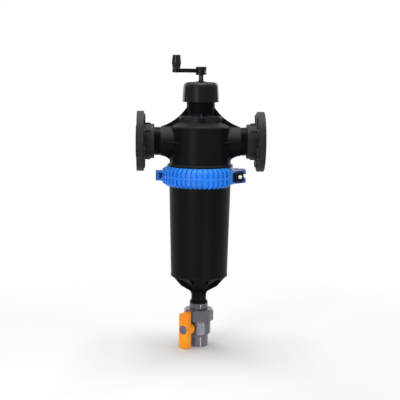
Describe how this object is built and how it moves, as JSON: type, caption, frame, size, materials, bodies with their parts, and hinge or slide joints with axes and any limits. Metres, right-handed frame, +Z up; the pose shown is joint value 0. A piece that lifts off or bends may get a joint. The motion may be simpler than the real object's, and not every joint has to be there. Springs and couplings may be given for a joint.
{
  "type": "irrigation screen filter",
  "caption": "In-line irrigation screen filter: flanged head, clamped tapered bowl, crank that turns a screen brush, and a drain ball valve under the bowl.",
  "frame": {"origin": "centre of the inlet waterway at the inlet flange's sealing face", "axes": "+X along the flow from inlet to outlet, +Z up along the filter's upright axis"},
  "size_m": [0.43, 0.2562, 0.9815],
  "materials": {
    "black_plastic": "satin moulded",
    "grey_black_plastic": "matt moulded",
    "blue_plastic": "satin moulded",
    "black_fitting": "smooth",
    "steel": "bright turned",
    "dark_steel": "black coated",
    "rubber": "smooth",
    "inner_plastic": "moulded",
    "screen_mesh": "woven",
    "bristles": "nylon",
    "valve_grey": "satin moulded",
    "valve_white": "smooth",
    "orange_plastic": "satin moulded"
  },
  "bodies": {
    "filter": {"filter_head": "black_plastic", "filter_bowl": "black_plastic", "top_cap": "black_plastic", "inlet_flange": "grey_black_plastic", "outlet_flange": "grey_black_plastic", "clamp_front": "blue_plastic", "clamp_back": "blue_plastic", "clamp_nut": "black_fitting", "clamp_hinge_pin": "steel", "clamp_bolt_pin": "steel", "clamp_swing_bolt": "steel", "clamp_washer": "steel", "body_seal": "rubber", "inlet_seal": "rubber", "outlet_seal": "rubber", "cap_seal": "rubber", "shaft_seal": "rubber", "screen_top_seal": "rubber", "screen_bottom_seal": "rubber", "connector_seal": "rubber", "stem_seal": "rubber", "shaft_bush": "inner_plastic", "screen_cage": "inner_plastic", "bottom_bearing": "inner_plastic", "screen_mesh": "screen_mesh", "valve_connector": "valve_grey", "union_nut": "valve_grey", "valve_body": "valve_grey", "seat_carrier": "valve_grey", "ball_seat_upper": "valve_white", "ball_seat_lower": "valve_white"},
    "crank": {"crank_shaft": "dark_steel", "crank_arm": "black_fitting", "crank_bolt": "steel", "grip_pin": "steel", "shaft_collar": "dark_steel", "brush_holder": "inner_plastic", "brush_strips": "bristles"},
    "grip": {"crank_grip": "black_fitting"},
    "valve": {"valve_ball": "valve_white", "valve_stem": "valve_grey", "valve_handle": "orange_plastic", "handle_cap": "valve_grey"}
  },
  "joints": [
    {"name": "crank_turn", "type": "hinge", "parent": "filter", "child": "crank", "pos_m": [0.215, 0, 0.19], "axis": [0, 0, 1], "continuous": true},
    {"name": "grip_spin", "type": "hinge", "parent": "crank", "child": "grip", "pos_m": [0.133, 0, 0.26], "axis": [0, 0, 1], "continuous": true},
    {"name": "valve_turn", "type": "hinge", "parent": "filter", "child": "valve", "pos_m": [0.215, 0, -0.631], "axis": [-0.682, -0.7314, 0], "range_deg": [-90, 0]}
  ]
}
